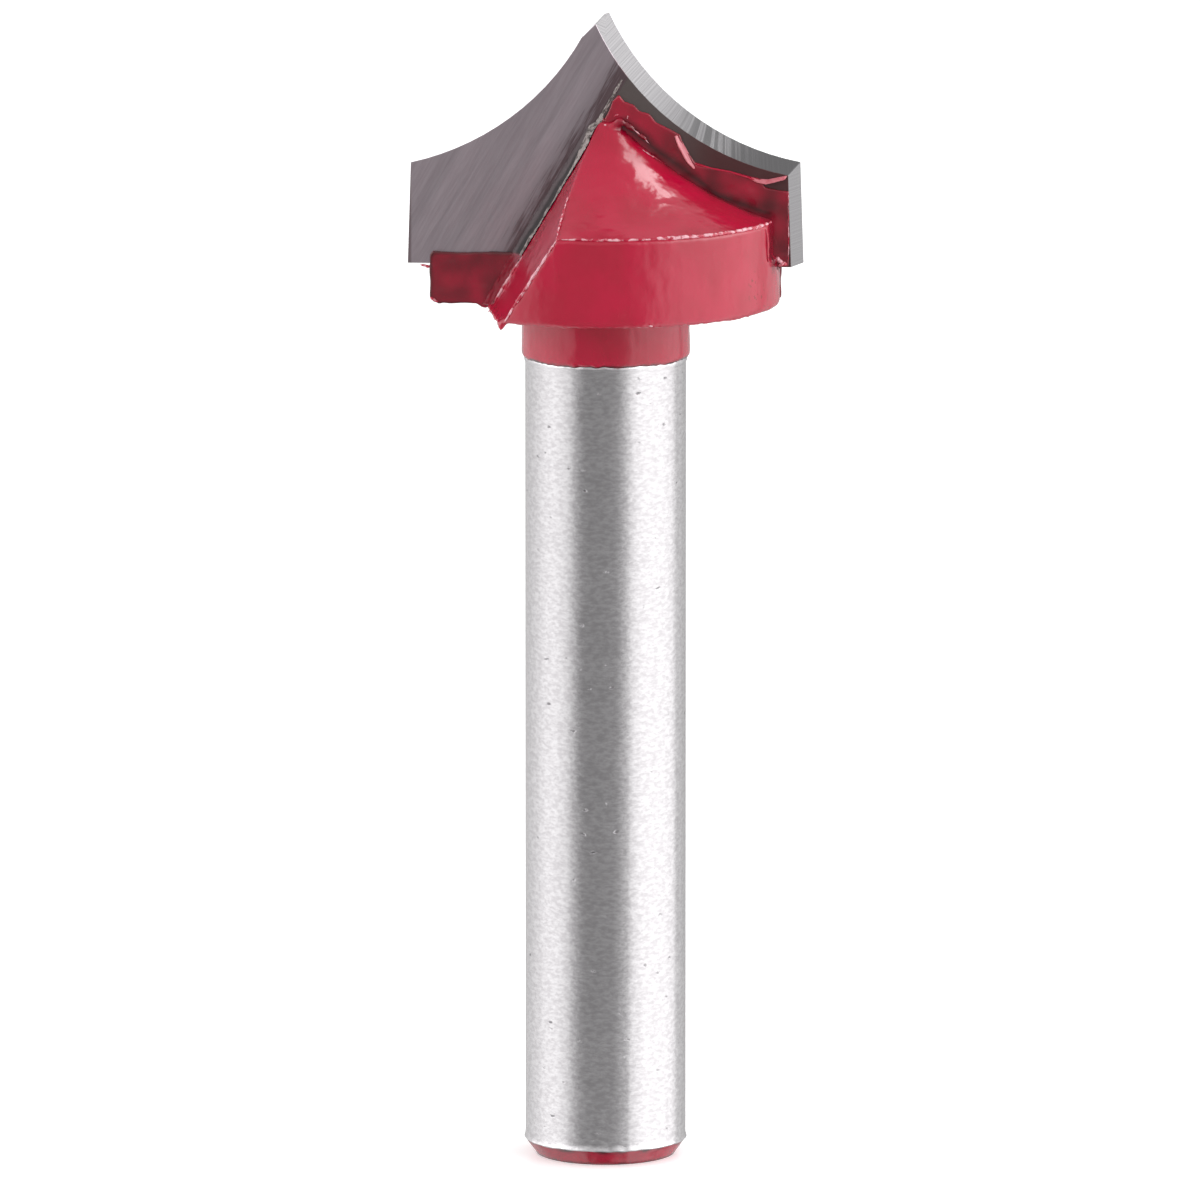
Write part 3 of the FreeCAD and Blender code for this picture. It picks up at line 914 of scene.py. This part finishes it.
def coatPiece(name, sheet, turned):
    bm = bmesh.new()
    corners = [bm.verts.new((across, sheet["back"], up)) for across, up in sheet["outline"]]
    grown = bmesh.ops.extrude_face_region(bm, geom=[bm.faces.new(corners)])["geom"]
    bmesh.ops.translate(bm, verts=vertsIn(grown), vec=(0, sheet["front"] - sheet["back"], 0))
    bmesh.ops.recalc_face_normals(bm, faces=bm.faces)
    bm = skinned(bm, coat["voxel"], coat["passes"])
    roughened(bm, coat["ripple"], coat["rippleScale"])
    # darkened all over as painted shade, with random mottling
    markEnamel(bm, everywhere=coat["depth"], mottle=coat["mottle"])
    if turned:
        turnHalfRound(bm, bm.verts)
    return addPiece(name, bm, enamel)


# The torn upper edge of that enamel: flaps that curl away from the carbide

curl = {
    "thickness": 0.06,
    "voxel": 0.032,
    "passes": 2,
    "flaps": {  # its finish, then where each station starts on the coat and how its lip stands off from there
        "steepCurl": (flakeHighlight, [
            ((2.95, 40.92), (-0.15, -0.18, -0.03)), ((3.12, 40.6), (-0.19, -0.28, -0.07)),
            ((3.3, 40.27), (-0.19, -0.29, -0.08)), ((3.49, 39.93), (-0.19, -0.27, -0.08)),
            ((3.68, 39.62), (-0.14, -0.17, -0.04)),
        ]),
        "longCurl": (enamel, [
            ((3.6, 39.84), (-0.05, -0.12, -0.04)), ((4.24, 39.64), (0.0, -0.1, -0.03)),
            ((4.95, 39.52), (0.0, -0.12, -0.03)), ((5.54, 39.36), (0.0, -0.15, -0.05)),
            ((5.95, 39.24), (-0.02, -0.18, -0.06)),
        ]),
        "endCurl": (flakeHighlight, [
            ((5.75, 39.3), (-0.04, -0.15, -0.05)), ((6.1, 39.22), (-0.06, -0.2, -0.12)),
            ((6.45, 39.2), (-0.09, -0.24, -0.16)), ((6.8, 39.28), (-0.1, -0.24, -0.16)),
            ((7.2, 39.36), (-0.08, -0.2, -0.12)),
        ]),
    },
}


def curlPiece(name, flap, turned):
    material, stations = flap
    bm = bmesh.new()
    roots = [bm.verts.new((across, bladeFront, up)) for (across, up), reach in stations]
    edges = [bm.edges.new(pair) for pair in zip(roots, roots[1:])]
    grown = bmesh.ops.extrude_edge_only(bm, edges=edges)["geom"]
    for lip, (start, reach) in zip(vertsIn(grown), stations):
        lip.co += Vector(reach)
    bmesh.ops.recalc_face_normals(bm, faces=bm.faces)
    bmesh.ops.solidify(bm, geom=bm.faces[:], thickness=curl["thickness"])
    bmesh.ops.recalc_face_normals(bm, faces=bm.faces)
    bm = skinned(bm, curl["voxel"], curl["passes"])
    if turned:
        turnHalfRound(bm, bm.verts)
    return addPiece(name, bm, material)


for label, turned in (("front", False), ("back", True)):
    for part, sheet in coat["sheets"].items():
        coatPiece("enamel_" + part + "_" + label, sheet, turned)
    for part, flap in curl["flaps"].items():
        curlPiece("enamel_" + part + "_" + label, flap, turned)


# Ridges of enamel that dried along the edges, uneven enough to break up the light on them

def onCircle(radius, height, start, end, count):
    turns = [math.radians(start + (end - start) * step / (count - 1)) for step in range(count)]
    return [(math.sin(turn) * radius, -math.cos(turn) * radius, height) for turn in turns]


ridges = {
    "spacing": 0.05,
    "taper": 0.4,
    "uneven": 0.04,
    "unevenScale": 5.0,
    "paintedGlint": [  # radius and line, on the front
        (0.06, onCircle(6.79, 37.59, -11.5, 22, 8)),
        (0.085, onCircle(6.775, 37.6, 18, 78, 12)),
        (0.07, [(-1.38, -6.72, 37.57), (-1.84, -6.61, 36.83), (-2.7, -6.31, 35.47), (-3.09, -6.13, 34.87),
                (-3.55, -5.9, 34.1)]),
        (0.045, [(-1.16, -3.7, 38.9), (-1.27, -4.42, 38.52), (-1.34, -5.34, 38.1), (-1.38, -6.1, 37.8),
                 (-1.4, -6.7, 37.58)]),
        (0.08, [(-3.15, -1.6, 36.16), (-3.53, -1.6, 35.53), (-3.97, -1.6, 34.8), (-4.5, -1.6, 33.92)]),
        (0.06, [(-4.4, -1.4, 34.03), (-4.27, -2.2, 34.01), (-4.01, -3.6, 34.0), (-3.64, -5.5, 33.98)]),
        (0.045, [(-4.2, -0.82, 35.1), (-4.48, -0.82, 34.6), (-4.78, -0.82, 34.1)]),
        (0.045, [(1.11, -0.95, 41.19), (1.42, -0.98, 40.98), (1.81, -0.9, 40.56)]),
        (0.05, [(1.36, -1.07, 40.48), (1.91, -1.08, 40.1), (2.44, -0.92, 39.77)]),
        (0.03, [(7.26, -0.74, 38.6), (7.27, -0.75, 37.4), (7.27, -0.75, 36.3), (7.26, -0.74, 35.9)]),
    ],
    "wet": [
        (0.1, [(6.2, -2.3, 37.68), (6.4, -2.25, 37.55), (6.5, -2.15, 37.2), (6.53, -2.1, 36.7),
               (6.55, -2.05, 36.1)]),
        (0.08, onCircle(6.7, 34.17, -30, 66, 15)),
    ],
    "specks": [  # centre, radii and turn, on the front
        ((6.92, -0.78, 35.97), (0.14, 0.12, 0.1), 0.3), ((7.09, -0.75, 35.87), (0.13, 0.1, 0.09), 0.6),
        ((6.84, -0.84, 36.07), (0.1, 0.1, 0.1), 0.0), ((6.98, -0.84, 35.83), (0.12, 0.08, 0.07), -0.4),
        ((-7.06, -0.7, 35.61), (0.24, 0.07, 0.06), 0.1), ((-6.95, -0.7, 35.57), (0.12, 0.08, 0.08), 0.0),
        ((0.5, -0.76, 41.66), (0.12, 0.05, 0.06), -0.5), ((0.92, -0.76, 41.6), (0.035, 0.04, 0.08), 0.2),
        ((0.08, -0.84, 41.26), (0.08, 0.05, 0.05), 0.6), ((2.73, -0.78, 39.5), (0.09, 0.05, 0.05), 0.8),
        ((3.2, -1.02, 39.13), (0.09, 0.05, 0.05), 0.6), ((3.9, -0.95, 38.75), (0.08, 0.05, 0.04), 0.5),
        ((4.28, -1.12, 38.52), (0.07, 0.05, 0.04), 0.5), ((2.29, -6.48, 34.2), (0.08, 0.06, 0.05), 0.0),
        ((-1.0, -6.64, 34.15), (0.12, 0.05, 0.04), 0.0), ((-1.95, -6.42, 34.15), (0.08, 0.05, 0.04), 0.0),
        ((-6.7, -0.8, 34.27), (0.19, 0.06, 0.07), 0.55),
    ],
}


def tubesAlong(lines):
    curve = bpy.data.curves.new("lines", "CURVE")
    curve.dimensions = "3D"
    curve.bevel_depth = 1.0
    curve.bevel_resolution = 2
    curve.use_fill_caps = True
    for radius, points in lines:
        spline = curve.splines.new("NURBS")
        spline.points.add(len(points) - 1)
        for made, point in zip(spline.points, points):
            made.co = (*point, 1)
            made.radius = radius
        spline.points[0].radius = spline.points[-1].radius = radius * ridges["taper"]
        spline.order_u = 3
        spline.use_endpoint_u = True
        length = sum((Vector(end) - Vector(start)).length for start, end in zip(points, points[1:]))
        spline.resolution_u = math.ceil(length / ridges["spacing"] / (len(points) - 1))
    return evaluated(bpy.data.objects.new("lines", curve))


def ridgePiece(name, lines, specks, material):
    bm = tubesAlong(lines)
    bmesh.ops.remove_doubles(bm, verts=bm.verts, dist=mergeWithin)
    bmesh.ops.recalc_face_normals(bm, faces=bm.faces)
    copies = bmesh.ops.duplicate(bm, geom=allOf(bm))["geom"]
    turnHalfRound(bm, vertsIn(copies))
    for centre, radii, turn in specks:
        addBlob(bm, centre, radii, turn)
    roughened(bm, ridges["uneven"], ridges["unevenScale"], bias=-0.35)
    return addPiece(name, bm, material)


# these ridges and specks carry the painted glints
ridgePiece("painted_glint_ridges", ridges["paintedGlint"], ridges["specks"], paintedGlint)
ridgePiece("wet_ridges", ridges["wet"], [], enamel)


# Floor, light and camera

studio = {
    "floorHalf": 6.0,
    "floorColour": (0.84, 0.84, 0.84, 1),
    "floorRoughness": 0.3,
    "floorGlow": 0.4,
    "low": [  # angle round the object from the front, brightness seen there near the horizon
        (-180, 0.65), (-147, 0.8), (-116, 1.12), (-96, 1.45), (-80, 1.53), (-65, 1.4), (-51, 1.2),
        (-42, 0.7), (-35, 0.36), (5, 0.38), (19, 0.41), (30, 0.55), (38, 1.05), (48, 1.55), (60, 1.75),
        (82, 1.8), (97, 1.78), (116, 1.6), (126, 1.3), (131, 0.5), (137, 0.95), (150, 0.72), (165, 0.6),
        (180, 0.65),
    ],
    "high": [  # the same, higher up
        (-180, 0.5), (-150, 0.6), (-120, 1.7), (-90, 3.1), (-60, 2.8), (-35, 1.0), (0, 0.7), (28, 1.0),
        (55, 3.0), (88, 4.2), (112, 3.0), (128, 1.5), (145, 1.1), (158, 0.55), (180, 0.45),
    ],
    "overhead": 0.6,
    "beneath": 0.25,
    "highFrom": (-0.02, 0.22),  # each as the height of a direction, from -1 to 1
    "overheadFrom": (0.5, 0.8),
    "beneathFrom": (-0.995, -0.94),
    "keyStart": (104, 66),  # angle round the object, and up from the horizon
    "keyEnd": (150, 52),
    "keyWidth": 0.085,
    "keyDistance": 0.5,
    "keyRadiance": 5.0,
}


def grey(level):
    return (level, level, level, 1)


def floorPiece():
    bm = bmesh.new()
    bmesh.ops.create_grid(bm, x_segments=1, y_segments=1, size=studio["floorHalf"])
    mesh = bpy.data.meshes.new("floor")
    bm.to_mesh(mesh)
    bm.free()
    constants = {
        "Base Color": studio["floorColour"],
        "Roughness": studio["floorRoughness"],
        "Emission Color": grey(1),
    }
    material, tree, shader = newMaterial("paleFloor", constants)
    seen = put(tree, "ShaderNodeLightPath").outputs["Is Camera Ray"]
    link(tree, shader.inputs, {"Emission Strength": times(tree, seen, studio["floorGlow"])})
    mesh.materials.append(material)
    floor = bpy.data.objects.new("floor", mesh)
    floor.visible_glossy = False
    bpy.context.scene.collection.objects.link(floor)


def direction(azimuth, rise):
    turn, tilt = math.radians(azimuth), math.radians(rise)
    return Vector((math.sin(turn) * math.cos(tilt), -math.cos(turn) * math.cos(tilt), math.sin(tilt)))


def keyLight():
    # a long soft box, high behind the right shoulder
    start = direction(*studio["keyStart"]) * studio["keyDistance"]
    end = direction(*studio["keyEnd"]) * studio["keyDistance"]
    lamp = bpy.data.lights.new("key", "AREA")
    lamp.shape = "RECTANGLE"
    lamp.size = (end - start).length
    lamp.size_y = studio["keyWidth"]
    lamp.energy = studio["keyRadiance"] * math.pi * lamp.size * lamp.size_y
    backward = (start + end).normalized()
    along = (end - start - backward * (end - start).dot(backward)).normalized()
    light = bpy.data.objects.new("key", lamp)
    light.matrix_world = Matrix((along, backward.cross(along), backward)).transposed().to_4x4()
    light.location = (start + end) / 2
    bpy.context.scene.collection.objects.link(light)


def brightnessRound(tree, share, levels):
    ramp = put(tree, "ShaderNodeValToRGB", {"Fac": share})
    stops = ramp.color_ramp.elements
    brightest = max(level for turn, level in levels)
    for turn, level in levels[1:-1]:
        stops.new((turn + 180) / 360)
    for stop, (turn, level) in zip(stops, levels):
        stop.color = grey(level / brightest)
    return times(tree, ramp.outputs["Color"], brightest)


def surroundings():
    # a dim front, bright soft sides and a white backdrop for the camera alone
    world = bpy.data.worlds.new("surroundings")
    world.use_nodes = True
    tree = world.node_tree
    toward = axes(tree, put(tree, "ShaderNodeTexCoord").outputs["Generated"])
    angle = maths(tree, "ARCTAN2", toward["X"], times(tree, toward["Y"], -1.0))
    feeds = {"Value": angle, "From Min": -math.pi, "From Max": math.pi}
    share = put(tree, "ShaderNodeMapRange", feeds).outputs[0]
    low = brightnessRound(tree, share, studio["low"])
    high = brightnessRound(tree, share, studio["high"])
    low = blend(tree, fade(tree, toward["Z"], *studio["beneathFrom"]), grey(studio["beneath"]), low)
    sides = blend(tree, fade(tree, toward["Z"], *studio["highFrom"]), low, high)
    light = blend(tree, fade(tree, toward["Z"], *studio["overheadFrom"]), sides, grey(studio["overhead"]))
    seen = put(tree, "ShaderNodeLightPath").outputs["Is Camera Ray"]
    link(tree, tree.nodes["Background"].inputs, {"Color": blend(tree, seen, light, grey(1))})
    bpy.context.scene.world = world
    bpy.context.scene.view_settings.view_transform = "Standard"


view = {
    "azimuth": math.radians(4.6),
    "distance": 607.41,
    "height": 126.43,
    "pitch": 0.169612,
    "yaw": -0.000367,
    "focalPixels": 15595.76,
    "pictureWidth": 1200,
    "sensor": 36.0,
    "clip": (0.05, 50),
}


def addCamera():
    camera = bpy.data.cameras.new("camera")
    camera.sensor_width = view["sensor"]
    camera.sensor_fit = "HORIZONTAL"
    camera.lens = view["focalPixels"] * view["sensor"] / view["pictureWidth"]
    camera.clip_start, camera.clip_end = view["clip"]
    right = Vector((math.cos(view["azimuth"]), math.sin(view["azimuth"]), 0))
    away = Vector((-math.sin(view["azimuth"]), math.cos(view["azimuth"]), 0))
    up = Vector((0, 0, 1))
    sideways = right * math.cos(view["yaw"]) - away * math.sin(view["yaw"])
    ahead = right * math.sin(view["yaw"]) + away * math.cos(view["yaw"])
    forward = ahead * math.cos(view["pitch"]) - up * math.sin(view["pitch"])
    upward = up * math.cos(view["pitch"]) + ahead * math.sin(view["pitch"])
    shown = bpy.data.objects.new("camera", camera)
    shown.matrix_world = Matrix((sideways, upward, -forward)).transposed().to_4x4()
    shown.location = -away * view["distance"] * mm + up * view["height"] * mm
    bpy.context.scene.collection.objects.link(shown)
    bpy.context.scene.camera = shown


floorPiece()
keyLight()
surroundings()
addCamera()
print("stage, light and camera ready")
